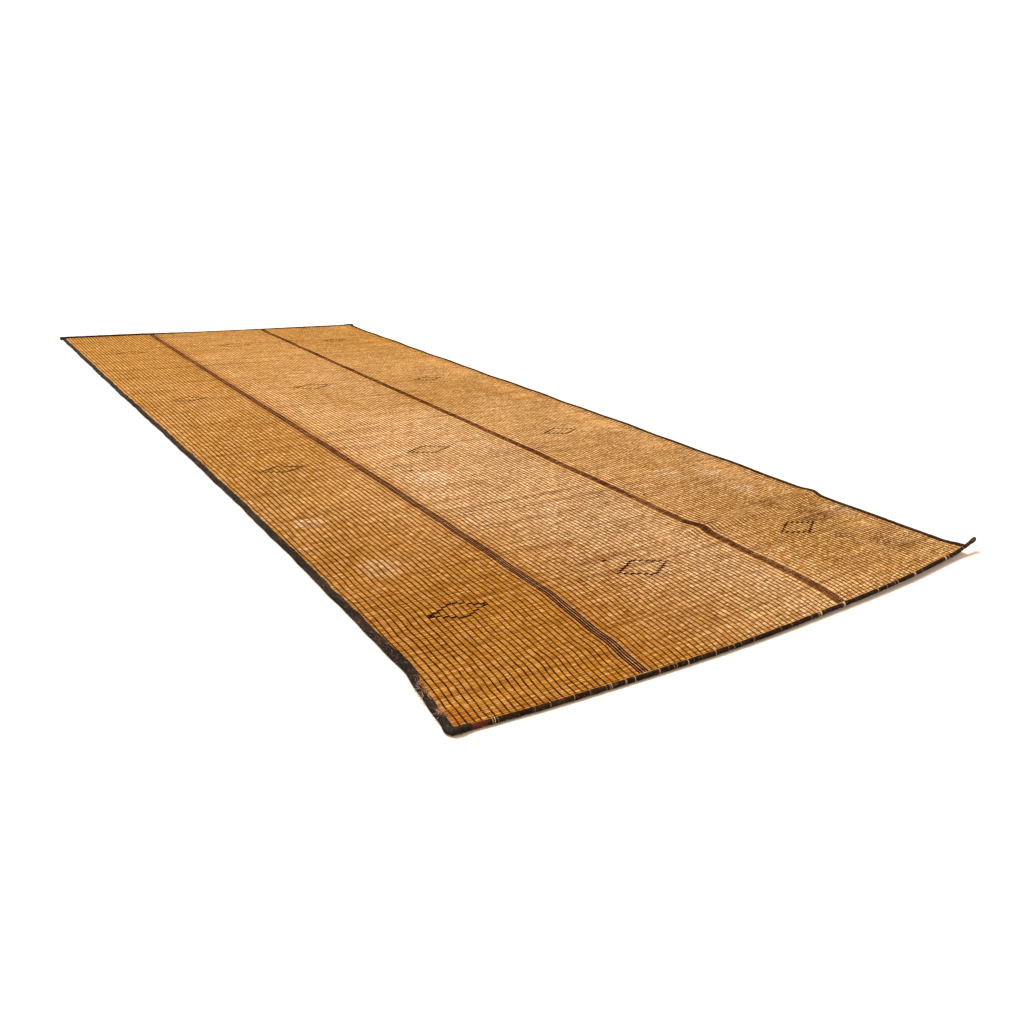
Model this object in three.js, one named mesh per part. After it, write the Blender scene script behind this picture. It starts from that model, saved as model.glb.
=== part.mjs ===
// A long reed mat with leather thongs, leather side bindings and leather-wrapped end rolls.
// Millimetres. +X runs across the mat, +Y along it from the near end to the far end, +Z up.
// The mat lies on the floor, with its near right corner lifted.
import * as THREE from "three";

// Whole mat, over its leather edges.
const matWidth = 1925;
const matLength = 4710;

// Reeds run across the mat and make a field one reed thick.
const reedThickness = 5;

// A strip of leather is folded over the reed ends along each side.
const leather = 1.6;
const bindingWidth = 22;
const gap = 0.3;

// A stick wrapped in leather closes each end.
const rollRadius = 6.5;
const rollSides = 12;
const rollLump = 0.5;
const rollLumpLength = 58;
const rollGap = 0.5;
const rollOverhang = 30;

// The side edge of the field rides up onto the lower leather over this distance.
const edgeStep = leather + gap;
const edgeStepRun = 26;

// Each end of the field rides up onto its roll over this distance.
const endStep = 4;
const endStepRun = 140;

// The mat bows sideways along its length: v is 0 at the near end, 1 at the far end.
const sidewaysBow = [
  { v: 0, shift: -31 },
  { v: 0.03, shift: -15 },
  { v: 0.08, shift: 1 },
  { v: 0.14, shift: 9 },
  { v: 0.3, shift: 14 },
  { v: 0.5, shift: 7 },
  { v: 0.7, shift: -6 },
  { v: 1, shift: -17 },
];

// The near end isn't straight: u is 0 at the left edge, 1 at the right edge.
const nearEndBow = [
  { u: 0, shift: -34 },
  { u: 0.15, shift: -56 },
  { u: 0.4, shift: -73 },
  { u: 0.6, shift: -66 },
  { u: 0.8, shift: -48 },
  { u: 0.95, shift: -19 },
  { u: 1.05, shift: -2 },
];
const nearEndBowRun = 1150;

// The right half of the near end stands off the floor, and its stick points up.
const nearEndLift = [
  { u: 0.24, lift: 0 },
  { u: 0.4, lift: 1.5 },
  { u: 0.6, lift: 4 },
  { u: 0.8, lift: 8 },
  { u: 0.95, lift: 11 },
  { u: 1, lift: 13 },
  { u: 1.03, lift: 32 },
];
const nearEndLiftRun = 420;

// A soft crease crosses the right half of the mat, highest at the right edge.
const creaseFromNearEnd = 610;
const creaseHalfWidth = 75;
const creaseHeight = 8;
const creaseStartU = 0.5;

// Rows of points along and across the mat, closer together where it is bent.
const rowZones = [
  { to: 60, steps: 2 },
  { to: 720, steps: 16 },
  { to: matLength - 2 * (2 * rollRadius + rollGap) - 160, steps: 12 },
  { to: matLength - 2 * (2 * rollRadius + rollGap), steps: 4 },
];
const columnZones = [
  { to: bindingWidth + 2, steps: 1 },
  { to: bindingWidth + 2 + edgeStepRun, steps: 3 },
  { to: matWidth - 2 * leather - 2 * gap - bindingWidth - 2 - edgeStepRun, steps: 16 },
  { to: matWidth - 2 * leather - 2 * gap - bindingWidth - 2, steps: 3 },
  { to: matWidth - 2 * leather - 2 * gap, steps: 1 },
];

function stations(zones) {
  const list = [0];
  for (const zone of zones) {
    const start = list[list.length - 1];
    for (let step = 1; step <= zone.steps; step += 1) {
      list.push(start + ((zone.to - start) * step) / zone.steps);
    }
  }
  return list;
}

// A smooth curve through the rows of a short table, level beyond its ends.
function smoothThrough(table, key, value, at) {
  const last = table.length - 1;
  if (at <= table[0][key]) return table[0][value];
  if (at >= table[last][key]) return table[last][value];
  const slope = (row) => {
    const before = table[Math.max(row - 1, 0)];
    const after = table[Math.min(row + 1, last)];
    return (after[value] - before[value]) / (after[key] - before[key]);
  };
  let row = 0;
  while (at > table[row + 1][key]) row += 1;
  const run = table[row + 1][key] - table[row][key];
  const t = (at - table[row][key]) / run;
  const rise = table[row + 1][value] - table[row][value];
  const bend = (1 - t) * (slope(row) * run - rise) - t * (slope(row + 1) * run - rise);
  return table[row][value] + t * rise + t * (1 - t) * bend;
}

function fade(distance, run) {
  return 1 - THREE.MathUtils.smoothstep(distance, 0, run);
}

// Moves a point of the flat mat to where it lies on the floor.
function lay(point) {
  const u = point.x / matWidth + 0.5;
  const v = point.y / matLength + 0.5;
  const fromNearEnd = Math.max(point.y + matLength / 2, 0);
  const lift = smoothThrough(nearEndLift, "u", "lift", u) * fade(fromNearEnd, nearEndLiftRun);
  const acrossCrease = Math.abs(fromNearEnd - creaseFromNearEnd) / creaseHalfWidth;
  const creaseGrowth = THREE.MathUtils.smoothstep(u, creaseStartU, 1);
  const crease = creaseHeight * creaseGrowth * fade(acrossCrease, 1);
  const endBow = smoothThrough(nearEndBow, "u", "shift", u) * fade(fromNearEnd, nearEndBowRun);
  point.x += smoothThrough(sidewaysBow, "v", "shift", v);
  point.y += endBow;
  point.z += lift + crease;
}

// How far the field and its bindings stand up where they meet an end roll.
function endRise(y) {
  const fromEnd = matLength / 2 - Math.abs(y) - 2 * rollRadius;
  return endStep * fade(Math.max(fromEnd, 0), endStepRun);
}

function movePoints(geometry, move) {
  const points = geometry.attributes.position;
  const point = new THREE.Vector3();
  for (let index = 0; index < points.count; index += 1) {
    point.fromBufferAttribute(points, index);
    move(point);
    points.setXYZ(index, point.x, point.y, point.z);
  }
  geometry.computeVertexNormals();
  return geometry;
}

const rows = stations(rowZones).map((from) => from - matLength / 2 + 2 * rollRadius + rollGap);
const columns = stations(columnZones).map((from) => from - matWidth / 2 + leather + gap);
const reedStraw = new THREE.MeshStandardMaterial({ color: 0xc99a5b, roughness: 0.8 });
const darkLeather = new THREE.MeshStandardMaterial({ color: 0x33271f, roughness: 0.65 });

function addPiece(group, name, geometry, material) {
  const mesh = new THREE.Mesh(geometry, material);
  mesh.name = name;
  group.add(mesh);
}

// The field of reeds is a thin slab, stepped up onto the leather along both sides.
function reedField() {
  const across = columns.length - 1;
  const along = rows.length - 1;
  const slab = new THREE.BoxGeometry(across, along, reedThickness, across, along, 1);
  return movePoints(slab, (point) => {
    point.x = columns[Math.round(point.x + across / 2)];
    point.y = rows[Math.round(point.y + along / 2)];
    const fromSide = matWidth / 2 - bindingWidth - 2 - Math.abs(point.x);
    const sideRise = edgeStep * fade(Math.max(fromSide, 0), edgeStepRun);
    point.z += reedThickness / 2 + Math.max(sideRise, endRise(point.y));
    lay(point);
  });
}

// A side binding is a folded strip: a lower leaf, the fold along the reed ends and an upper leaf.
function sideBinding(side) {
  const outer = (side * matWidth) / 2;
  const foldInside = outer - side * leather;
  const lip = outer - side * bindingWidth;
  const height = 2 * leather + 2 * gap + reedThickness;
  const fold = new THREE.Shape();
  fold.moveTo(lip, 0);
  fold.lineTo(outer - side * leather, 0);
  fold.lineTo(outer, leather);
  fold.lineTo(outer, height - leather);
  fold.lineTo(outer - side * leather, height);
  fold.lineTo(lip, height);
  fold.lineTo(lip, height - leather);
  fold.lineTo(foldInside, height - leather);
  fold.lineTo(foldInside, leather);
  fold.lineTo(lip, leather);
  fold.closePath();
  const along = rows.length - 1;
  const strip = new THREE.ExtrudeGeometry(fold, { depth: along, steps: along, bevelEnabled: false });
  strip.rotateX(Math.PI / 2);
  return movePoints(strip, (point) => {
    point.y = rows[Math.round(point.y + along)];
    point.z += Math.max(endRise(point.y) - edgeStep, 0);
    lay(point);
  });
}

// An end roll is a round stick in a leather wrap that thickens and thins along it.
function endRoll(from, to, y) {
  const steps = Math.round((to - from) / rollLumpLength) * 2;
  const roll = new THREE.CylinderGeometry(rollRadius, rollRadius, steps, rollSides, steps);
  roll.rotateZ(-Math.PI / 2);
  return movePoints(roll, (point) => {
    point.x = from + ((to - from) * (point.x + steps / 2)) / steps;
    const thickness = 1 - (rollLump / rollRadius) * Math.cos(point.x / rollLumpLength) ** 2;
    point.y = y + point.y * thickness;
    point.z = (point.z + rollRadius) * thickness;
    lay(point);
  });
}

// A leather cap closes a roll: its rows give the distance along it and the size there.
const cornerCapRows = [
  { along: 0, radius: 4 },
  { along: 3, radius: 7.5 },
  { along: 12, radius: 9 },
  { along: 30, radius: 8.5 },
  { along: 46, radius: 7 },
];
const stickCapRows = [
  { along: 0, radius: 5.5 },
  { along: 5, radius: 6.6 },
  { along: 14, radius: 6.4 },
  { along: 19, radius: 4.2 },
];

function leatherCap(capRows, from, y) {
  const steps = capRows.length - 1;
  const cap = new THREE.CylinderGeometry(1, 1, steps, rollSides, steps);
  cap.rotateZ(-Math.PI / 2);
  return movePoints(cap, (point) => {
    const row = capRows[Math.round(point.x + steps / 2)];
    point.x = from + row.along;
    point.y = y + rollRadius - row.radius + point.y * row.radius;
    point.z = (point.z + 1) * row.radius;
    lay(point);
  });
}

const group = new THREE.Group();
group.name = "tuareg_mat";
const leftEnd = -matWidth / 2;
const rightEnd = matWidth / 2;
const nearRollY = -matLength / 2 + rollRadius;
const cornerCapLength = cornerCapRows[cornerCapRows.length - 1].along;
const stickEnd = rightEnd + rollOverhang;

addPiece(group, "reed_field", reedField(), reedStraw);
addPiece(group, "binding_left", sideBinding(-1), darkLeather);
addPiece(group, "binding_right", sideBinding(1), darkLeather);
addPiece(group, "end_roll_near", endRoll(leftEnd + cornerCapLength + gap, stickEnd, nearRollY), darkLeather);
addPiece(group, "end_roll_far", endRoll(leftEnd - 10, rightEnd + 10, -nearRollY), darkLeather);
addPiece(group, "corner_cap_near_left", leatherCap(cornerCapRows, leftEnd, nearRollY), darkLeather);
addPiece(group, "stick_cap_near_right", leatherCap(stickCapRows, stickEnd + gap, nearRollY), darkLeather);

// The origin is under the middle of the mat's box.
const box = new THREE.Box3().setFromObject(group);
const middle = box.getCenter(new THREE.Vector3());
for (const piece of group.children) {
  piece.geometry.translate(-middle.x, -middle.y, -box.min.z);
}

export default group;
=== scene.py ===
import math

import bmesh
import bpy
import numpy as np
from mathutils import Matrix, Vector, noise


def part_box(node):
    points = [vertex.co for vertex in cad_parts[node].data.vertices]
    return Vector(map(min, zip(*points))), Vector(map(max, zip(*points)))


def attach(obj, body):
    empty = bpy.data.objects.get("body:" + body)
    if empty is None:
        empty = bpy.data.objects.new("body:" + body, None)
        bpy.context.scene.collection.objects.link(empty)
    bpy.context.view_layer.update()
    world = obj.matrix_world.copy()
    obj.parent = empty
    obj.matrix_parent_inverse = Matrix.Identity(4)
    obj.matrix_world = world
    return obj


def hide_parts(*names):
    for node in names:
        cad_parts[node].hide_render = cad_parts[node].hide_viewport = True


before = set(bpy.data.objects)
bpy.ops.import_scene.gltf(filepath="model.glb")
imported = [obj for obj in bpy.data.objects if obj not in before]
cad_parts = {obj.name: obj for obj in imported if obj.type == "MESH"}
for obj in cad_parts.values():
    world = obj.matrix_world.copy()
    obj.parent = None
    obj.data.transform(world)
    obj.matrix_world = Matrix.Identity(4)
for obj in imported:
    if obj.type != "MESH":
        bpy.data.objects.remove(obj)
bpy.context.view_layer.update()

# The reeds: about a thousand dry stems laid side by side across the mat, each as long as the mat is wide.
# They are slightly flattened, golden where they are new and paler or dirtier where feet have worn them,
# and nothing but the thongs holds them together.
mat_width = 1.925
mat_length = 4.710
roll_radius = 0.0065
roll_gap = 0.0005
leather = 0.0016
fold_gap = 0.0003
binding_width = 0.022
reed_pitch = 0.0046
reed_middle = 0.0026
reed_half_width = 0.00222
reed_half_height = 0.0019
reed_sides = 6
reed_inner_steps = 12
reed_widths = (0.88, 1.03)
reed_heights = (0.80, 1.08)
reed_bend = 0.0006
reed_bend_pace = 7
reed_bend_change = 0.12
reed_shift = 0.0003
thong_spacing = 0.0172

# Thongs stray to the left near the near end, by the share across the mat, and sway all along it.
end_drift = {
    0: 0, 0.27: 0, 0.5: -0.010, 0.65: -0.024, 0.8: -0.012, 1: 0,
}
end_drift_run = 0.12
long_drift = {
    0: 0, 0.27: -0.020, 0.5: -0.012, 0.65: -0.008, 1: 0,
}
long_drift_run = 0.50
sway_waves = [
    {"height": 0.0013, "along": 21, "across": 5},
    {"height": 0.0006, "along": 47, "across": -9},
]
sway_least = 0.6
sway_run = 1.6

# The field rides up onto the side leather and onto the end rolls.
side_rise = leather + fold_gap
side_rise_margin = 0.002
side_rise_run = 0.026
end_rise = 0.004
end_rise_run = 0.140

# The mat bows sideways, by the share along it, and its near end bows out, by the share across it.
sideways_bow = {
    0: -0.031, 0.03: -0.015, 0.08: 0.001, 0.14: 0.009, 0.3: 0.014, 0.5: 0.007, 0.7: -0.006, 1: -0.017,
}
near_end_bow = {
    0: -0.034, 0.15: -0.056, 0.4: -0.073, 0.6: -0.066, 0.8: -0.048, 0.95: -0.019, 1.05: -0.002,
}
near_end_bow_run = 1.150

# The left side has worn back, by the distance from the near end, and is nowhere quite straight.
left_edge_wear = {
    0: -0.004, 0.1: -0.002, 0.17: 0, 0.21: 0.005, 0.25: 0.011, 0.3: 0.007, 0.37: 0.002, 0.45: 0,
}
edge_wave = 0.0011
edge_waves = [(1, 13, 1), (0.6, 31, 0), (0.5, 57, 0)]

# The right half of the near end stands off the floor, its corner most, and the right side is wavy.
near_end_lift = {
    0.24: 0, 0.4: 0.0015, 0.6: 0.004, 0.8: 0.008, 0.95: 0.011, 1: 0.013, 1.03: 0.025,
}
near_end_lift_run = 0.420
corner_lift = 0.009
corner_lift_across = 0.070
corner_lift_along = 0.090
right_wave = 0.0048
right_waves = [(0.55, 8.3, 0.5), (0.45, 19, 2)]
right_wave_across = 0.110
right_wave_start = 0.2

# A crease crosses the right half, a softer fold the near left corner, and faint ripples the whole mat.
crease_line = {
    0.6: 0.575, 0.75: 0.572, 0.87: 0.592, 1: 0.612,
}
crease_height = {
    0.56: 0, 0.65: 0.008, 0.8: 0.007, 1: 0.008,
}
crease_far_run = 0.075
crease_near_run = 0.042
fold_from_near_end = 0.150
fold_slant = 0.05
fold_half_width = 0.055
fold_height = 0.005
fold_reach = 0.45
ripple_height = 0.0011
ripple_across = 0.61 / 6
ripple_along = 0.47 / 6
ripple_slant = 2
ripple_margin = 0.2


def smooth_through(table, at):
    """A smooth curve through the rows of a short table, level beyond its ends."""
    key = np.array(list(table.keys()), float)
    value = np.array(list(table.values()), float)
    last = len(key) - 1
    before = np.maximum(np.arange(last + 1) - 1, 0)
    after = np.minimum(np.arange(last + 1) + 1, last)
    slope = (value[after] - value[before]) / (key[after] - key[before])
    held = np.clip(at, key[0], key[last])
    row = np.clip(np.searchsorted(key, held) - 1, 0, last - 1)
    run = key[row + 1] - key[row]
    rise = value[row + 1] - value[row]
    t = (held - key[row]) / run
    bend = (1 - t) * (slope[row] * run - rise) - t * (slope[row + 1] * run - rise)
    return value[row] + t * rise + t * (1 - t) * bend


def ease(share):
    """From 0 to 1, level at both ends."""
    share = np.clip(share, 0, 1)
    return share * share * (3 - 2 * share)


def fade(distance, run):
    """From 1 at no distance to 0 at the end of the run."""
    return 1 - ease(np.maximum(distance, 0) / run)


def waves(rows, at):
    """Waves added up. Each row is a height, a pace and a start."""
    return sum(height * np.sin(at * pace + start) for height, pace, start in rows)


far_low, far_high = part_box("end_roll_far")
flat_middle_x = (far_low[0] + far_high[0]) / 2 - float(smooth_through(sideways_bow, 1))
flat_middle_y = far_high[1] - mat_length / 2


def lay(x, y, z):
    """Where points of the flat mat lie on the floor. x and y are measured from the flat mat's middle."""
    u = x / mat_width + 0.5
    v = y / mat_length + 0.5
    from_right = (1 - u) * mat_width
    from_near_end = np.maximum(y + mat_length / 2, 0)
    lift = smooth_through(near_end_lift, u) * fade(from_near_end, near_end_lift_run)
    near_corner = fade(from_right, corner_lift_across) * fade(from_near_end, corner_lift_along)
    lift = lift + corner_lift * near_corner
    rolling = (1 + waves(right_waves, y)) / 2
    past_lift = ease(from_near_end / near_end_lift_run - right_wave_start)
    lift = lift + right_wave * rolling * (fade(from_right, right_wave_across) * past_lift)
    from_crease = from_near_end - smooth_through(crease_line, u)
    crease_run = np.where(from_crease > 0, crease_far_run, crease_near_run)
    crease = smooth_through(crease_height, u) * fade(np.abs(from_crease) / crease_run, 1)
    across_fold = np.abs(from_near_end - fold_from_near_end - fold_slant * u) / fold_half_width
    fold = fold_height * fade(u / fold_reach, 1) * fade(across_fold, 1)
    end_bow = smooth_through(near_end_bow, u) * fade(from_near_end, near_end_bow_run)
    swell = np.sin(x / ripple_across + y) * np.sin(y / ripple_along - x * ripple_slant)
    inside_sides = fade(np.abs(x) - mat_width / 2 + ripple_margin, ripple_margin)
    inside_ends = fade(np.abs(y) - mat_length / 2 + ripple_margin, ripple_margin)
    ripple = ripple_height * (1 + swell) * (inside_sides * inside_ends)
    return np.stack(
        [
            x + smooth_through(sideways_bow, v) + flat_middle_x,
            y + end_bow + flat_middle_y,
            z + lift + crease + fold + ripple,
        ],
        axis=-1,
    )


def field_rise(x, y):
    """How far the field stands up where it runs onto the side leather or an end roll."""
    from_leather = mat_width / 2 - binding_width - side_rise_margin - np.abs(x)
    from_roll = mat_length / 2 - np.abs(y) - 2 * roll_radius
    at_side = side_rise * fade(from_leather, side_rise_run)
    at_end = end_rise * fade(from_roll, end_rise_run)
    return np.maximum(at_side, at_end)


def thong_wander(x, y):
    """How far a thong strays sideways: together in long waves, and to the left near the near end."""
    from_near_end = y + mat_length / 2
    u = x / mat_width + 0.5
    drift = smooth_through(end_drift, u) * fade(from_near_end, end_drift_run)
    drift = drift + smooth_through(long_drift, u) * fade(from_near_end, long_drift_run)
    sway = sum(wave["height"] * np.sin(y * wave["along"] + x * wave["across"]) for wave in sway_waves)
    return drift + sway * (sway_least + fade(from_near_end, sway_run))


def worn_edge(y):
    """How far the left side has drawn in, by the place along the mat."""
    return smooth_through(left_edge_wear, y + mat_length / 2) + edge_wave * waves(edge_waves, y)


def rod(sides, steps):
    """A round bar of radius 1, cut into steps: its points as (section x, section y, step) and its faces."""
    shape = bmesh.new()
    bmesh.ops.create_cone(shape, cap_ends=True, segments=sides, radius1=1, radius2=1, depth=steps)
    if steps > 1:
        lengthways = [e for e in shape.edges if abs(e.verts[0].co.z - e.verts[1].co.z) > 0.5]
        bmesh.ops.subdivide_edges(shape, edges=lengthways, cuts=steps - 1, use_grid_fill=True)
    shape.verts.index_update()
    points = np.array([tuple(v.co) for v in shape.verts])
    points[:, 2] = np.round(points[:, 2] + steps / 2)
    faces = [[v.index for v in f.verts] for f in shape.faces]
    shape.free()
    return points, faces


def standing(name, data):
    """A new object of the scene, at the origin."""
    thing = bpy.data.objects.new(name, data)
    bpy.context.scene.collection.objects.link(thing)
    return thing


def joined(name, placed, faces, marks=None):
    """One object from many copies of a shape.

    placed has a row of points for each copy, and each mark a number for each copy or point.
    """
    copies, size, _ = placed.shape
    corner_counts = np.tile([len(f) for f in faces], copies)
    corners = np.concatenate([np.array(f) for f in faces])
    all_corners = (np.arange(copies)[:, None] * size + corners[None, :]).ravel()
    loop_starts = np.concatenate([[0], np.cumsum(corner_counts)[:-1]])
    mesh = bpy.data.meshes.new(name)
    mesh.vertices.add(copies * size)
    mesh.vertices.foreach_set("co", placed.reshape(-1).astype(np.float32))
    mesh.loops.add(len(all_corners))
    mesh.loops.foreach_set("vertex_index", all_corners.astype(np.int32))
    mesh.polygons.add(copies * len(faces))
    mesh.polygons.foreach_set("loop_start", loop_starts.astype(np.int32))
    mesh.update(calc_edges=True)
    mesh.validate()
    mesh.shade_smooth()
    for mark, numbers in (marks or {}).items():
        kept = mesh.attributes.new(mark, "FLOAT", "POINT")
        spread = np.broadcast_to(numbers, (copies, size)).ravel()
        kept.data.foreach_set("value", spread.astype(np.float32))
    return standing(name, mesh)


def dye(red, green, blue):
    """A colour as a painter would mix it on screen, in the shader's own numbers."""
    parts = [c / 255 for c in (red, green, blue)]
    return tuple(c / 12.92 if c <= 0.04045 else ((c + 0.055) / 1.055) ** 2.4 for c in parts) + (1,)


class Finish:
    """A material being put together: most calls add a node and return its output."""

    def __init__(self, name):
        self.material = bpy.data.materials.new(name)
        self.material.use_nodes = True
        self.tree = self.material.node_tree
        self.shader = self.tree.nodes["Principled BSDF"]

    def node(self, kind, settings=None, **inputs):
        made = self.tree.nodes.new(kind)
        for key, value in (settings or {}).items():
            setattr(made, key, value)
        for key, value in inputs.items():
            self.feed(made.inputs[key.replace("_", " ")], value)
        return made

    def feed(self, socket, value):
        if isinstance(value, bpy.types.NodeSocket):
            self.tree.links.new(value, socket)
        else:
            socket.default_value = value

    def place(self, stretch=(1, 1, 1)):
        """Object coordinates, stretched."""
        where = self.node("ShaderNodeTexCoord").outputs["Object"]
        return self.node("ShaderNodeMapping", Vector=where, Scale=stretch).outputs[0]

    def cloud(self, stretch, detail=3.0, roughness=0.55):
        made = self.node("ShaderNodeTexNoise", Vector=self.place(stretch), Scale=1.0, Detail=detail)
        made.inputs["Roughness"].default_value = roughness
        return made.outputs["Fac"]

    def attribute(self, name):
        return self.node("ShaderNodeAttribute", {"attribute_name": name}).outputs["Fac"]

    def span(self, value, low, high, to_low=0.0, to_high=1.0):
        made = self.node("ShaderNodeMapRange", Value=value)
        made.inputs["From Min"].default_value = low
        made.inputs["From Max"].default_value = high
        made.inputs["To Min"].default_value = to_low
        made.inputs["To Max"].default_value = to_high
        return made.outputs[0]

    def worked(self, operation, *values):
        made = self.node("ShaderNodeMath", {"operation": operation})
        for socket, value in zip(made.inputs, values):
            self.feed(socket, value)
        return made.outputs[0]

    def times(self, first, second):
        return self.worked("MULTIPLY", first, second)

    def plus(self, first, second):
        return self.worked("ADD", first, second)

    def mix(self, share, first, second):
        made = self.node("ShaderNodeMix", {"data_type": "RGBA"})
        self.feed(made.inputs[0], share)
        self.feed(made.inputs[6], first)
        self.feed(made.inputs[7], second)
        return made.outputs[2]

    def spot(self, x, y, reach):
        """1 at a place, falling to 0 at its reach. x is from the left side, y from the near end."""
        away = self.node("ShaderNodeVectorMath", {"operation": "DISTANCE"})
        self.feed(away.inputs[0], self.node("ShaderNodeTexCoord").outputs["Object"])
        middle = lay(np.array(x - mat_width / 2), np.array(y - mat_length / 2), np.array(reed_middle))
        away.inputs[1].default_value = tuple(float(part) for part in middle)
        return self.span(away.outputs["Value"], reach, 0.0)

    def bumps(self, height, distance, strength=1.0):
        made = self.node("ShaderNodeBump", Height=height, Distance=distance, Strength=strength)
        self.feed(self.shader.inputs["Normal"], made.outputs[0])

    def finish(self, colour, roughness, shine=0.5):
        self.feed(self.shader.inputs["Base Color"], colour)
        self.feed(self.shader.inputs["Roughness"], roughness)
        self.shader.inputs["Specular IOR Level"].default_value = shine
        return self.material


chance = np.random.default_rng(7)
field_near = -mat_length / 2 + 2 * roll_radius + roll_gap
field_far = -field_near
reed_count = int((field_far - field_near) / reed_pitch)
reed_y = np.linspace(field_near + reed_pitch / 2, field_far - reed_pitch / 2, reed_count)
reed_reach = mat_width / 2 - leather - fold_gap
leather_end = binding_width + side_rise_margin
edge_steps = np.array([0, leather_end, leather_end + side_rise_run])
inner_reach = reed_reach - edge_steps[-1]
inner_steps = np.linspace(-inner_reach, inner_reach, reed_inner_steps)[1:-1]
reed_x = np.concatenate([edge_steps - reed_reach, inner_steps, reed_reach - edge_steps[::-1]])
reed_points, reed_faces = rod(reed_sides, len(reed_x) - 1)
along_reed = reed_x[reed_points[:, 2].astype(int)][None, :] + np.zeros((reed_count, 1))
along_reed = along_reed + np.where(reed_points[None, :, 2] < 1, worn_edge(reed_y)[:, None], 0)
fatness = chance.uniform(*reed_widths, (reed_count, 1))
tallness = chance.uniform(*reed_heights, (reed_count, 1))
bend_start = np.cumsum(chance.normal(0, reed_bend_change, (reed_count, 1)), axis=0)
bent = reed_bend * np.sin(along_reed * reed_bend_pace + bend_start)
reed_flat_y = reed_y[:, None] + reed_points[None, :, 0] * reed_half_width * fatness + bent
reed_flat_y = reed_flat_y + chance.normal(0, reed_shift, (reed_count, 1))
reed_flat_z = reed_middle + reed_points[None, :, 1] * reed_half_height * tallness
reed_flat_z = reed_flat_z + chance.uniform(-reed_shift, reed_shift, (reed_count, 1))
reed_flat_z = reed_flat_z + field_rise(along_reed, reed_flat_y)
reeds = joined(
    "reeds",
    lay(along_reed, reed_flat_y, reed_flat_z),
    reed_faces,
    {
        "tone": chance.uniform(0, 1, (reed_count, 1)),
        "across": along_reed - thong_wander(along_reed, reed_flat_y),
        # 0 at a stem's top and 1 at its underside, used for painted shade in the grooves.
        "groove_shade": (1 - reed_points[None, :, 1]) / 2,
    },
)

# Where the reeds are worn and stained. x is from the left side, y from the near end.
# The stripes part the mat into three panels, and the left one has bled into the reeds.
stripe_left_x = -0.440
stripe_left_width = 0.032
stripe_right_x = 0.293
stripe_right_width = 0.035
middle_panel = (stripe_left_x + stripe_right_x) / 2
panel_blend = 0.05
worn_places = [
    {"x": 0.900, "y": 1.000, "reach": 1.50, "much": 0.15},
    {"x": 0.764, "y": 1.203, "reach": 0.55, "much": 0.16},
    {"x": 0.997, "y": 0.775, "reach": 0.50, "much": 0.16},
    {"x": 0.950, "y": 0.550, "reach": 0.45, "much": 0.18},
    {"x": 1.700, "y": 3.200, "reach": 1.40, "much": 0.10},
]
stains = [
    {"x": 1.644, "y": 0.640, "reach": 0.10, "pale": False, "much": 0.65},
    {"x": 1.728, "y": 0.469, "reach": 0.11, "pale": False, "much": 0.65},
    {"x": 1.655, "y": 0.301, "reach": 0.06, "pale": False, "much": 0.65},
    {"x": 1.747, "y": 0.200, "reach": 0.08, "pale": False, "much": 0.65},
    {"x": 0.140, "y": 1.156, "reach": 0.07, "pale": True, "much": 0.50},
    {"x": 0.058, "y": 0.969, "reach": 0.03, "pale": True, "much": 0.60},
    {"x": 0.200, "y": 0.760, "reach": 0.10, "pale": True, "much": 0.25},
    {"x": 1.862, "y": 0.455, "reach": 0.08, "pale": True, "much": 0.45},
    {"x": 1.724, "y": 0.966, "reach": 0.09, "pale": True, "much": 0.45},
    {"x": 1.709, "y": 0.778, "reach": 0.07, "pale": True, "much": 0.45},
    {"x": 1.575, "y": 1.036, "reach": 0.08, "pale": True, "much": 0.45},
    {"x": 0.700, "y": 1.380, "reach": 0.12, "pale": True, "much": 0.45},
]
tone_spread = 977.0
reed_shine = 0.03


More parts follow.
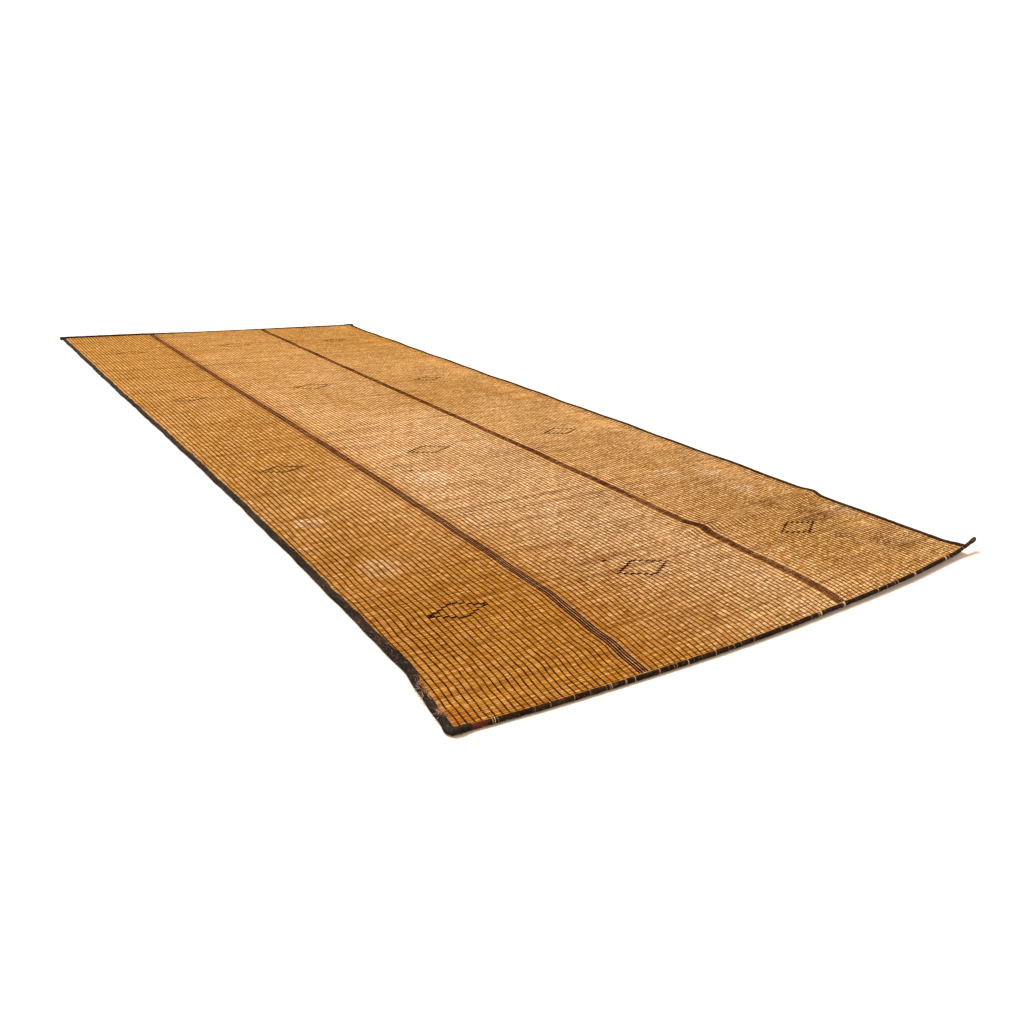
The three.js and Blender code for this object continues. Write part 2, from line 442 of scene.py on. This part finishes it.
def dry_reed():
    golden = dye(183, 130, 51)
    amber = dye(178, 118, 32)
    straw = dye(214, 164, 98)
    washed_straw = dye(222, 177, 120)
    bleached = dye(246, 206, 152)
    washed = dye(252, 224, 186)
    toasted = dye(116, 65, 7)
    brown = dye(108, 53, 1)
    rust = dye(158, 88, 32)
    # A dark dirt colour for the stains, also used for painted shade in the grooves.
    dirt_and_groove_shade = dye(62, 33, 3)
    made = Finish("dry_reed")

    # Each stretch of a reed between two thongs has its own luck with light and dirt.
    tone = made.attribute("tone")
    across = made.attribute("across")
    along = made.node("ShaderNodeSeparateXYZ", Vector=made.place()).outputs["Y"]
    gaps_across = made.times(across, 1 / thong_spacing)
    gap = made.worked("FLOOR", gaps_across)
    cell = made.node("ShaderNodeCombineXYZ", X=gap, Y=made.times(tone, tone_spread)).outputs[0]
    luck = made.node("ShaderNodeTexWhiteNoise", {"noise_dimensions": "2D"}, Vector=cell).outputs["Value"]

    # The middle panel is the most worn, the left one the least.
    from_middle = made.worked("ABSOLUTE", made.plus(across, -middle_panel))
    in_middle = made.span(from_middle, 0.38, 0.28)
    in_left = made.span(across, stripe_left_x, stripe_left_x - panel_blend)
    in_right = made.span(across, stripe_right_x, stripe_right_x + panel_blend)
    near_left = made.span(made.spot(0.15, 0.1, 1.1), 0.0, 0.6)
    worn = made.cloud((1.3, 0.9, 1), 4.0)
    for place in worn_places:
        here = made.spot(place["x"], place["y"], place["reach"])
        worn = made.plus(worn, made.times(here, place["much"]))
    for panel, much in ((in_middle, 0.15), (in_left, -0.10), (in_right, 0.07)):
        worn = made.plus(worn, made.times(panel, much))
    trodden = made.times(made.plus(in_middle, made.times(in_right, 0.35)), made.span(worn, 0.5, 0.85))
    walked_on = made.times(trodden, made.span(along, -0.3, 1.6, 1.0, 0.2))
    colour = made.mix(made.span(worn, 0.42, 0.66), golden, made.mix(walked_on, straw, washed_straw))
    # Towards the far end the reeds are painted more golden and darker, as painted shade where the light
    # falls off.
    colour = made.mix(made.span(along, 0.0, 2.0, 0.0, 0.65), colour, golden)
    colour = made.mix(made.times(near_left, 0.85), colour, amber)

    # Single stretches are toasted or pale, and some whole reeds are dark.
    uneven = made.span(along, -2.0, 1.0, 0.7, 0.45)
    colour = made.mix(made.times(made.span(luck, 0.55, 1.0), uneven), colour, toasted)
    pale_cell = made.times(made.span(luck, 0.45, 0.0), made.span(near_left, 0.0, 1.0, 1.0, 0.4))
    colour = made.mix(made.times(pale_cell, uneven), colour, made.mix(walked_on, bleached, washed))
    colour = made.mix(made.span(tone, 0.75, 1.0, 0.0, 0.4), colour, toasted)

    # Stains take to some stretches more than to others.
    for stain in stains:
        here = made.spot(stain["x"], stain["y"], stain["reach"])
        broken = made.span(made.times(here, made.cloud((30, 170, 170), 4.0, 0.7)), 0.08, 0.3)
        if stain["pale"]:
            caught = made.times(broken, made.span(luck, 0.75, 0.3, 0.1, stain["much"]))
            colour = made.mix(caught, colour, washed)
        else:
            caught = made.times(broken, made.span(luck, 0.4, 0.7, 0.1, stain["much"]))
            colour = made.mix(caught, colour, dirt_and_groove_shade)

    # The left stripe's dye has run, and there is some on the near left corner.
    from_stripe = made.worked("ABSOLUTE", made.plus(across, -stripe_left_x))
    bled = made.times(made.span(from_stripe, 0.045, 0.02, 0.0, 0.8), made.cloud((14, 9, 14), 3.0))
    colour = made.mix(bled, colour, rust)
    in_stripe = made.span(from_stripe, 0.019, 0.016)
    colour = made.mix(made.times(in_stripe, made.span(along, -2.2, -0.8, 0.3, 0.2)), colour, bleached)
    colour = made.mix(made.times(in_stripe, made.span(along, -1.8, -0.6, 0.0, 0.25)), colour, rust)
    colour = made.mix(made.span(made.spot(0.043, 0.050, 0.045), 0.1, 0.6, 0.0, 0.7), colour, rust)

    # Mottling, streaks along the stems, darker patches, and bands of darker reeds.
    for grain, detail, rough, thin, thick, much, darker in (
        ((70, 150, 150), 4.0, 0.70, 0.50, 0.68, 0.70, rust),
        ((26, 420, 420), 3.0, 0.55, 0.48, 0.68, 0.75, toasted),
        ((8, 16, 1), 5.0, 0.70, 0.58, 0.76, 0.45, toasted),
        ((1.6, 24, 1), 4.0, 0.60, 0.52, 0.70, 0.50, toasted),
    ):
        flecked = made.span(made.cloud(grain, detail, rough), thin, thick, 0.0, much)
        colour = made.mix(flecked, colour, darker)

    # Painted shade, with some dirt, darkens each stretch of reed towards the thongs, so that it looks
    # rounded between them. Painted shade, with some dirt, also darkens the grooves between the stems.
    toward_thong_shade = made.worked("ABSOLUTE", made.plus(made.worked("FRACT", gaps_across), -0.5))
    colour = made.mix(made.span(toward_thong_shade, 0.24, 0.5, 0.0, 0.75), colour, brown)
    # The grooves get painted shade, with some dirt, more down each stem's sides and broken up in patches.
    groove_shade_patches = made.span(made.cloud((45, 330, 330), 3.0, 0.6), 0.4, 0.6, 0.35, 1.0)
    groove_shade = made.times(made.span(made.attribute("groove_shade"), 0.12, 0.5), groove_shade_patches)
    colour = made.mix(groove_shade, colour, dirt_and_groove_shade)
    fibre = made.cloud((60, 2600, 2600), 2.0)
    made.bumps(fibre, 0.0002, 0.6)
    return made.finish(colour, made.span(fibre, 0.3, 0.7, 0.6, 0.85), reed_shine)


reeds.data.materials.append(dry_reed())
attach(reeds, "root")
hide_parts("reed_field")

# The thongs: narrow strips of dark leather that run the whole length of the mat, a finger's width apart.
# Two strips are twined round the reeds on each line, so that one always shows on top
# and the other underneath.
thong_half_width = 0.0018
thong_half_height = 0.0007
thong_over = reed_middle + reed_half_height + 0.0001
thong_under = reed_middle - reed_half_height - 0.0002
thong_sides = 3
thong_dips = (-0.00035, 0.0002)
kink = 0.0011
reeds_between_kinks = 7
over_reeds_per_step = 2
over_uneven = 0.25
under_reeds_per_step = 4
under_uneven = 0.2
under_flatter = 0.6
stripe_clearance = 0.004
field_side = mat_width / 2 - binding_width


def woven(name, places, height, half_width, half_height, reeds_per_step, sides, kink, uneven):
    """Strips along the mat at these places across it, at a height among the reeds."""
    reed_at = np.arange(0, reed_count, reeds_per_step)
    points, faces = rod(sides, len(reed_at) - 1)
    step = points[:, 2].astype(int)
    size = (len(places), len(reed_at))
    y = reed_y[reed_at[step]][None, :] + np.zeros((len(places), 1))
    x = np.asarray(places)[:, None] + 0 * y
    bends = np.arange(0, reed_count + reeds_between_kinks, reeds_between_kinks)
    stray = np.array([np.interp(reed_at, bends, chance.normal(0, kink, len(bends))) for _ in places])
    dip = chance.uniform(*thong_dips, size)
    thickness = chance.uniform(1 - uneven, 1 + uneven, size)
    x = x + thong_wander(x, y) + stray[:, step] - points[None, :, 0] * half_width * thickness[:, step]
    z = height + dip[:, step] + points[None, :, 1] * half_height + field_rise(x, y)
    return joined(name, lay(x, y, z), faces, {"tone": chance.uniform(0, 1, (len(places), 1))})


def thong_leather(name, dark, worn):
    made = Finish(name)
    rub = made.span(made.cloud((40, 60, 40), 3.0), 0.45, 0.75, 0.0, 0.7)
    grain = made.cloud((900, 900, 900), 2.0)
    made.bumps(grain, 0.0002, 0.5)
    return made.finish(made.mix(rub, dark, worn), made.span(grain, 0.3, 0.7, 0.65, 0.85), shine=0.0)


dark_thong = thong_leather("dark_thong", dye(20, 9, 2), dye(42, 22, 7))
lines = np.arange(-int(field_side / thong_spacing), int(field_side / thong_spacing) + 1) * thong_spacing
clear_left = np.abs(lines - stripe_left_x) > stripe_left_width / 2 + stripe_clearance
clear_right = np.abs(lines - stripe_right_x) > stripe_right_width / 2 + stripe_clearance
lines = lines[clear_left & clear_right]
thongs = []
for half, places in zip(("left", "right"), np.array_split(lines, 2)):
    thongs.append(
        woven(
            "thongs_over_" + half,
            places,
            thong_over,
            thong_half_width,
            thong_half_height,
            over_reeds_per_step,
            thong_sides,
            kink,
            over_uneven,
        )
    )
thongs.append(
    woven(
        "thongs_under",
        lines,
        thong_under,
        thong_half_width,
        thong_half_height * under_flatter,
        under_reeds_per_step,
        thong_sides,
        kink,
        under_uneven,
    )
)
for thong in thongs:
    thong.data.materials.append(dark_thong)
    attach(thong, "root")

# The two stripes: broader strips of dyed leather, set close together and woven through the reeds
# as the thongs are. The left stripe is maroon with the reeds showing between its strips,
# and the right one is brown and close.
strip_half_height = 0.0011
strip_sides = 4
strip_kink = 0.0003
strip_uneven = 0.05
stripe_rows = {
    "stripe_left": (stripe_left_x, stripe_left_width, 4, 0.64, dye(30, 9, 7), dye(70, 28, 18)),
    "stripe_right": (stripe_right_x, stripe_right_width, 6, 0.72, dye(60, 30, 15), dye(114, 66, 38)),
}
for stripe, (middle_x, width, strips, cover, dark, worn) in stripe_rows.items():
    strip_width = width / strips
    places = middle_x + (np.arange(strips) - (strips - 1) / 2) * strip_width
    band = woven(
        stripe,
        places,
        thong_over,
        strip_width * cover / 2,
        strip_half_height,
        1,
        strip_sides,
        strip_kink,
        strip_uneven,
    )
    band.data.materials.append(thong_leather(stripe + "_leather", dark, worn))
    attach(band, "root")

# The lozenges: three across the mat in each of four rows, and a few lone sleeves that stand apart.
# Each is drawn by short sleeves of dark leather round single reeds, one in each gap between thongs
# and two reeds further on in the next gap. x is from the left side, y from the near end.
lozenge_rows = [
    {"x": 0.255, "y": 0.456, "gaps": 10, "size": 1.2},
    {"x": 0.874, "y": 0.450, "gaps": 12, "size": 1.2},
    {"x": 1.570, "y": 0.428, "gaps": 11, "size": 1.2},
    {"x": 0.264, "y": 1.706, "gaps": 10, "size": 1.5},
    {"x": 0.883, "y": 1.703, "gaps": 12, "size": 1.2},
    {"x": 1.560, "y": 1.711, "gaps": 11, "size": 1.3},
    {"x": 0.262, "y": 2.896, "gaps": 10, "size": 1.2},
    {"x": 0.888, "y": 2.941, "gaps": 12, "size": 1.2},
    {"x": 1.550, "y": 2.899, "gaps": 10, "size": 1.0},
    {"x": 0.266, "y": 4.124, "gaps": 10, "size": 1.0},
    {"x": 0.900, "y": 4.196, "gaps": 12, "size": 1.0},
    {"x": 1.570, "y": 4.180, "gaps": 10, "size": 1.0},
]
lone_sleeves = [
    {"x": 0.673, "y": 1.487},
    {"x": 1.319, "y": 0.895},
    {"x": 0.807, "y": 0.529},
    {"x": 1.747, "y": 2.730},
]
lone_size = 1.3
reeds_per_gap = 2
sleeve_sides = 6
sleeve_half_length = 0.0084
sleeve_half_width = 0.0042
sleeve_half_height = 0.0033
sleeve_taper = 0.2


def first_gap(x, gaps):
    """The number of the first of some gaps between thongs, which have their middle at this place."""
    return round((x - mat_width / 2) / thong_spacing - gaps / 2)


def reed_near(y):
    """The number of the reed nearest to this place."""
    return int(np.argmin(np.abs(reed_y - (y - mat_length / 2))))


sleeve_x = [(first_gap(row["x"], 1) + 0.5) * thong_spacing for row in lone_sleeves]
sleeve_y = [reed_y[reed_near(row["y"])] for row in lone_sleeves]
sleeve_size = [lone_size for row in lone_sleeves]
for row in lozenge_rows:
    start = first_gap(row["x"], row["gaps"])
    for gap in range(row["gaps"]):
        from_tip = min(gap, row["gaps"] - 1 - gap)
        reed_steps = (-reeds_per_gap * from_tip, reeds_per_gap * from_tip)
        if from_tip == 0:
            reed_steps = (-1, 1) if row is lozenge_rows[0] else (0,)
        for reed_step in reed_steps:
            sleeve_x.append((start + gap + 0.5) * thong_spacing)
            sleeve_y.append(reed_y[reed_near(row["y"]) + reed_step])
            sleeve_size.append(row["size"])
sleeve_points, sleeve_faces = rod(sleeve_sides, 2)
from_sleeve_middle = sleeve_points[None, :, 2] - 1
swelling = 1 - sleeve_taper * from_sleeve_middle**2
sleeve_width = np.array(sleeve_size)[:, None] * sleeve_half_width * swelling
flat_x = np.array(sleeve_x)[:, None] + from_sleeve_middle * sleeve_half_length
flat_y = np.array(sleeve_y)[:, None] + sleeve_points[None, :, 0] * sleeve_width
flat_x = flat_x + thong_wander(flat_x, flat_y)
flat_z = reed_middle + sleeve_points[None, :, 1] * sleeve_half_height * swelling + 0 * flat_x
lozenges = joined("lozenges", lay(flat_x, flat_y, flat_z), sleeve_faces)
lozenges.data.materials.append(thong_leather("lozenge_leather", dye(16, 7, 3), dye(40, 20, 9)))
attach(lozenges, "root")

# The side bindings: a long strip of goatskin folded over the reed ends on each side, dark and scuffed.
# On the left it is wrinkled and broader towards the near end, and torn open in two places there.
# The places of the tears and of the cover are from the near end.
fold_radius = 0.0036
fold_steps = 12
binding_steps = 700
rows_crowd_near = 1.4
left_cover = {
    0: 0.85, 0.1: 0.9, 0.2: 1.0, 0.28: 1.3, 0.36: 1.2, 0.5: 1.1, 0.9: 1.05, 1.6: 0.95, 2.6: 0.85,
}
tears = [
    {"y": 0.172, "half": 0.032},
    {"y": 0.078, "half": 0.016},
]
tear_edge = 0.008
tear_depth = 0.4
lip_wave = 0.0030
lip_nick = 0.0012
lump_height = 0.0010
pucker_height = 0.0006
wrinkle_height = 0.0016
wrinkled_run = 0.7
leaf_crown = 0.0008
leather_shine = 0.03


def torn(y):
    """1 where the left binding is torn open, 0 where it is whole."""
    from_near_end = y + mat_length / 2
    return sum(fade(np.abs(from_near_end - tear["y"]) - tear["half"], tear_edge) for tear in tears)


def lumpy(height, *place):
    """A smooth lump or hollow of up to this height, by the place."""
    return height * noise.noise(Vector(place))


def folded_binding(name, side):
    """A strip with a lower leaf, a round fold and an upper leaf, from the near end to the far one."""
    strip = bmesh.new()
    bmesh.ops.create_grid(strip, x_segments=fold_steps, y_segments=binding_steps, size=0.5)
    leaf = binding_width - fold_radius - leather / 2
    whole = 2 * leaf + math.pi * fold_radius
    for point in strip.verts:
        share = point.co.y + 0.5
        y = field_near + share**rows_crowd_near * (field_far - field_near)
        along = (point.co.x + 0.5) * whole
        cover = 1.0
        drawn_in = 0.0
        if side < 0:
            cover = float(smooth_through(left_cover, y + mat_length / 2)) - tear_depth * float(torn(y))
            drawn_in = float(worn_edge(y))
        ragged = lumpy(lip_wave, y * 19, side * 9, 0) + lumpy(lip_nick, y * 80, side, 4)
        lump = lumpy(lump_height, y * 45, along * 160, side * 4)
        lump += lumpy(pucker_height, y * 140, along * 300, side * 7)
        wrinkle = lumpy(wrinkle_height, y * 110, along * 40, side * 3)
        lump += wrinkle * float(fade(y + mat_length / 2, wrinkled_run))
        if along < leaf:
            inset = fold_radius + leaf - along
            z = leather / 2
        elif along > whole - leaf:
            over = (along - (whole - leaf)) / leaf
            inset = fold_radius + (leaf * cover + ragged) * over
            z = leather / 2 + 2 * fold_radius + lump + leaf_crown * math.sin(over * math.pi)
        else:
            turn = (along - leaf) / fold_radius
            inset = fold_radius - fold_radius * math.sin(turn)
            z = leather / 2 + fold_radius - fold_radius * math.cos(turn) + lump / 2
        x = side * (mat_width / 2 - leather / 2 - inset) + drawn_in
        stand = max(float(field_rise(np.array(0.0), np.array(y))) - side_rise, 0)
        point.co = lay(np.array(x), np.array(y), np.array(z + stand))
    bmesh.ops.recalc_face_normals(strip, faces=strip.faces)
    bmesh.ops.solidify(strip, geom=strip.faces[:], thickness=leather / 2)
    bmesh.ops.recalc_face_normals(strip, faces=strip.faces)
    mesh = bpy.data.meshes.new(name)
    strip.to_mesh(mesh)
    strip.free()
    mesh.shade_smooth()
    return standing(name, mesh)


def rubbed_leather(name, dark, worn, scuffed, red_place=None):
    made = Finish(name)
    rub = made.span(made.cloud((30, 14, 40), 4.0), 0.45, 0.68)
    colour = made.mix(made.times(rub, 0.8), dark, worn)
    if red_place:
        red = made.span(made.spot(*red_place), 0.1, 0.5, 0.0, 0.85)
        colour = made.mix(red, colour, dye(84, 33, 20))
    scuff = made.span(made.cloud((160, 110, 160), 4.0, 0.7), 0.55, 0.7, 0.0, 0.7)
    colour = made.mix(scuff, colour, scuffed)
    grain = made.cloud((300, 300, 300), 4.0, 0.6)
    colour = made.mix(made.span(grain, 0.55, 0.4, 0.0, 0.6), colour, dark)
    made.bumps(grain, 0.0010, 0.9)
    return made.finish(colour, made.span(grain, 0.3, 0.7, 0.6, 0.85), leather_shine)


side_leather = rubbed_leather("side_leather", dye(24, 18, 13), dye(58, 40, 28), dye(112, 82, 58))
binding_left = folded_binding("side_binding_left", -1)
binding_right = folded_binding("side_binding_right", 1)
for binding, node in ((binding_left, "binding_left"), (binding_right, "binding_right")):
    binding.data.materials.append(side_leather)
    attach(binding, "root")
    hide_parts(node)

# The torn threads: ends of the thin red and tan leather strips that sewed the left binding down.
# They lie loose over the reeds in the two tears.
threads_per_tear = 34
thread_radius = 0.0008
thread_sides = 4
thread_points = 7
thread_insets = (0.006, 0.018)
thread_lengths = (0.010, 0.030)
thread_height = 0.0075
thread_arch = 0.0025
thread_stray = 0.4
thread_curl = 1.2
thread_narrowing = 0.6


def along_paths(name, paths, radii, sides, level=(0, 0, 1), marks=None):
    """Round strands along paths of the flat mat, with a radius at every point."""
    paths = np.asarray(paths, float)
    points, faces = rod(sides, paths.shape[1] - 1)
    step = points[:, 2].astype(int)
    ahead = np.gradient(paths, axis=1)
    ahead = ahead / np.linalg.norm(ahead, axis=2, keepdims=True)
    across = np.cross(ahead, level)
    across = across / np.linalg.norm(across, axis=2, keepdims=True)
    upward = np.cross(ahead, across)
    size = np.broadcast_to(radii, paths.shape[:2])[:, step, None]
    round_points = across[:, step] * points[None, :, 0:1] + upward[:, step] * points[None, :, 1:2]
    flat = paths[:, step] + round_points * size
    return joined(name, lay(flat[..., 0], flat[..., 1], flat[..., 2]), faces, marks)


thread_paths = []
t = np.linspace(0, 1, thread_points)
for tear in tears:
    for _ in range(threads_per_tear):
        y = tear["y"] + chance.uniform(-1, 1) * tear["half"] - mat_length / 2
        x = -mat_width / 2 + float(worn_edge(y)) + chance.uniform(*thread_insets)
        way = math.pi / 2 * chance.choice([-1, 1]) + chance.normal(0, thread_stray)
        turn = chance.uniform(-thread_curl, thread_curl)
        reach = chance.uniform(*thread_lengths)
        thread_paths.append(
            np.stack(
                [
                    x + reach * t * np.cos(way + turn * t) * thread_narrowing,
                    y + reach * t * np.sin(way + turn * t),
                    thread_height + thread_arch * np.sin(t * 3) * chance.uniform(0.2, 1),
                ],
                axis=1,
            )
        )
threads = along_paths(
    "torn_threads",
    thread_paths,
    thread_radius * np.linspace(1.1, 0.6, thread_points),
    thread_sides,
    marks={"tone": chance.uniform(0, 1, (len(thread_paths), 1))},
)
thread_finish = Finish("torn_thread")
thread_tan = thread_finish.span(thread_finish.attribute("tone"), 0.6, 0.8)
thread_colour = thread_finish.mix(thread_tan, dye(74, 28, 16), dye(150, 112, 76))
threads.data.materials.append(thread_finish.finish(thread_colour, 0.8))
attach(threads, "root")

# The end rolls: a stick along each end of the mat, wound in strips of dark leather.
# The joints between strips are left thick, and the far roll is wound more thickly towards its ends.
# The near one has a red strip by its left end and runs out past the right side.
roll_sides = 16
roll_step = 0.006
stick_past_right = 0.030
far_stick_past = 0.010
roll_from_corner = 0.0276
near_roll_thicker = {0: 1, 1: 1}
far_roll_thicker = {
    0: 1.4, 0.22: 1.4, 0.4: 1.05, 0.6: 1.05, 0.8: 1.2, 1: 1.25,
}
roll_thinnest = 0.94
roll_lump = 0.13
roll_crease = 0.07
roll_joint = 0.05
joint_pace = 31
joint_sharpness = 8
roll_seat = 0.98
red_strip = (0.066, 0.006, 0.032)


def leather_roll(name, from_x, to_x, y, seed, thicker):
    steps = round((to_x - from_x) / roll_step)
    points, faces = rod(roll_sides, steps)
    x = from_x + points[:, 2] / steps * (to_x - from_x)
    turn = np.arctan2(points[:, 0], points[:, 1])
    lumps = np.array([lumpy(roll_lump, a * 34, b * 0.9, seed) for a, b in zip(x, turn)])
    creases = np.array([lumpy(roll_crease, a * 120, b * 2.0, seed + 9) for a, b in zip(x, turn)])
    joints = roll_joint * np.abs(np.sin(x * joint_pace + turn / 2 + seed)) ** joint_sharpness
    middle = roll_radius * smooth_through(thicker, x / mat_width + 0.5)
    radius = middle * (roll_thinnest + lumps + creases + joints)
    flat_y = y - points[:, 0] * radius
    flat_z = middle * roll_seat + points[:, 1] * radius
    spine = lay(x, np.full_like(x, y), 0 * x)
    placed = lay(x, flat_y, flat_z)
    placed[:, 2] = spine[:, 2] + flat_z
    return joined(name, placed[None], faces)


near_roll_y = -mat_length / 2 + roll_radius
near_roll = leather_roll(
    "end_roll_near_wrap",
    -mat_width / 2 + roll_from_corner,
    mat_width / 2 + stick_past_right,
    near_roll_y,
    2,
    near_roll_thicker,
)
far_roll = leather_roll(
    "end_roll_far_wrap",
    -mat_width / 2 - far_stick_past,
    mat_width / 2 + far_stick_past,
    -near_roll_y,
    5,
    far_roll_thicker,
)
roll_leather = rubbed_leather("roll_leather", dye(22, 14, 8), dye(56, 34, 21), dye(92, 72, 52), red_strip)
for roll, node in ((near_roll, "end_roll_near"), (far_roll, "end_roll_far")):
    roll.data.materials.append(roll_leather)
    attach(roll, "root")
    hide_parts(node)

# The corner cap: a piece of thick dark hide sewn round the near left corner.
# It goes over the end of the roll and a little way up the left side. The rows of its path
# are from the corner and from the floor.
cap_path = [
    (0.010, 0.062, 0.0062),
    (0.007, 0.048, 0.0068),
    (0.004, 0.030, 0.0075),
    (0.004, 0.016, 0.0082),
    (0.010, 0.007, 0.0084),
    (0.022, 0.005, 0.0082),
    (0.036, 0.006, 0.0078),
    (0.050, 0.0065, 0.0068),
]
cap_radius = [0.0052, 0.0066, 0.0072, 0.0080, 0.0084, 0.0082, 0.0078, 0.0066]
cap_points = 29
cap_sides = 20
cap_lump = 0.0022
cap_lumps_per_metre = 110


def roughen(thing, height, per_metre):
    """Lumps over the whole of a piece."""
    for point in thing.data.vertices:
        point.co += point.normal * height * noise.noise(point.co * per_metre)


cap_rows = np.arange(len(cap_path))
cap_steps = np.linspace(0, len(cap_path) - 1, cap_points)
cap_flat = np.array(cap_path) + (-mat_width / 2, -mat_length / 2, 0)
fine_path = np.stack([np.interp(cap_steps, cap_rows, cap_flat[:, axis]) for axis in range(3)], axis=1)
fine_radius = np.interp(cap_steps, cap_rows, cap_radius)
corner_cap = along_paths("corner_cap", fine_path[None], fine_radius[None], cap_sides)
roughen(corner_cap, cap_lump, cap_lumps_per_metre)
cap_hide = rubbed_leather("cap_hide", dye(25, 22, 18), dye(50, 42, 32), dye(84, 74, 60))
corner_cap.data.materials.append(cap_hide)
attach(corner_cap, "root")
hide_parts("corner_cap_near_left")

# The stick cap: a small knob of hide, shrunk on over the end of the near stick,
# which stands out past the right side. Its rows are from that side.
knob_along = [0.028, 0.033, 0.044, 0.053, 0.057]
knob_radius = [0.0060, 0.0076, 0.0081, 0.0070, 0.0038]
knob_sides = 14
knob_lump = 0.0010
knob_lumps_per_metre = 150
knob_path = [(mat_width / 2 + along, near_roll_y, roll_radius) for along in knob_along]
stick_cap = along_paths("stick_cap", [knob_path], [knob_radius], knob_sides)
roughen(stick_cap, knob_lump, knob_lumps_per_metre)
knob_hide = rubbed_leather("knob_hide", dye(34, 26, 20), dye(70, 58, 48), dye(104, 92, 80))
stick_cap.data.materials.append(knob_hide)
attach(stick_cap, "root")
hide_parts("stick_cap_near_right")

# The lashings: loops of light twisted cord that tie the near roll to the last reeds.
# They stand at uneven distances, and a few are bundles of three loops side by side.
# The places are from the left side.
lash_places = [
    0.098, 0.104, 0.110, 0.199, 0.237, 0.270, 0.299, 0.393, 0.565, 0.590, 0.643,
    0.715, 0.777, 0.849, 0.952, 0.996, 1.109, 1.221, 1.384, 1.431, 1.579, 1.785,
]
more_lashings = 24
lash_reach = (0.06, 1.90)
lash_radii = (0.0004, 0.0011)
lash_sides = 6
lash_points = 17
lash_half_turn = 0.85 * math.pi
lash_slant = 0.0025
lash_tightness = (0.92, 1.02)
bundle_places = [1.118, 1.222, 1.586, 1.782]
bundle_spread = 0.0021
bundle_radius = 0.0012
lash_places += list(chance.uniform(*lash_reach, more_lashings))
single_loops = len(lash_places)
lash_places += [place + beside * bundle_spread for place in bundle_places for beside in (-1, 0, 1)]
lash_radius = chance.uniform(*lash_radii, (len(lash_places), 1))
lash_radius[single_loops:] = bundle_radius
lash_turn = np.linspace(-lash_half_turn, lash_half_turn, lash_points)
lash_paths = []
for place in lash_places:
    slant = chance.uniform(-lash_slant, lash_slant)
    away = roll_radius * chance.uniform(*lash_tightness)
    lash_paths.append(
        np.stack(
            [
                place - mat_width / 2 + slant * lash_turn / math.pi,
                near_roll_y + away * np.sin(lash_turn),
                roll_radius + away * np.cos(lash_turn),
            ],
            axis=1,
        )
    )
lash_tone = chance.uniform(0, 1, (len(lash_places), 1))
lash_tone[single_loops:] = 1
lashings = along_paths("lashings", lash_paths, lash_radius, lash_sides, (1, 0, 0), {"tone": lash_tone})
lash_finish = Finish("light_cord")
lash_twist = lash_finish.cloud((700, 700, 700), 3.0)
lash_light = lash_finish.mix(lash_finish.attribute("tone"), dye(110, 62, 30), dye(208, 172, 126))
lash_colour = lash_finish.mix(lash_finish.span(lash_twist, 0.4, 0.6), dye(70, 40, 20), lash_light)
lash_finish.bumps(lash_twist, 0.0003)
lashings.data.materials.append(lash_finish.finish(lash_colour, 0.8))
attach(lashings, "root")

# The floor, the light and the camera: a plain pale floor just under the mat, with a soft warm sky
# and a soft cooler sun that add up to white. The camera looks along the mat
# from beyond its near left corner.
floor_half = 30
floor_z = -0.0010
floor_colour = dye(202, 190, 176)
sky_colour = (1.3, 1.12, 1, 1)
sun_colour = (0.788, 0.915, 1)
sun_energy = 5.0
sun_spread = math.radians(16)
sun_way = (0.25, -0.45, -1)
camera_place = (-1.744, -3.592, 1.028)
camera_right_of_length = math.radians(35.3)
camera_down = math.radians(20.57)
camera_roll = math.radians(3.14)

floor_shape = bmesh.new()
bmesh.ops.create_grid(floor_shape, x_segments=1, y_segments=1, size=floor_half)
bmesh.ops.translate(floor_shape, verts=floor_shape.verts, vec=(0, 0, floor_z))
floor_mesh = bpy.data.meshes.new("floor")
floor_shape.to_mesh(floor_mesh)
floor_shape.free()
floor_mesh.materials.append(Finish("pale_floor").finish(floor_colour, 0.9))
floor = standing("floor", floor_mesh)

world = bpy.data.worlds.new("studio")
bpy.context.scene.world = world
world.use_nodes = True
sky = world.node_tree.nodes["Background"]
sky.inputs["Color"].default_value = sky_colour
sky.inputs["Strength"].default_value = 1.0

sun_data = bpy.data.lights.new("key", "SUN")
sun_data.energy = sun_energy
sun_data.angle = sun_spread
sun_data.color = sun_colour
sun = standing("key", sun_data)
sun.rotation_euler = Vector(sun_way).to_track_quat("-Z", "Y").to_euler()

camera_data = bpy.data.cameras.new("camera")
camera_data.sensor_width = 36
camera_data.lens = 30.5
camera_data.clip_start = 0.01
camera = standing("camera", camera_data)
turned = Matrix.Rotation(-camera_right_of_length, 4, "Z")
tipped = Matrix.Rotation(math.pi / 2 - camera_down, 4, "X")
rolled = Matrix.Rotation(camera_roll, 4, "Z")
camera.matrix_world = Matrix.Translation(camera_place) @ turned @ tipped @ rolled
bpy.context.scene.camera = camera
bpy.context.scene.view_settings.view_transform = "Standard"
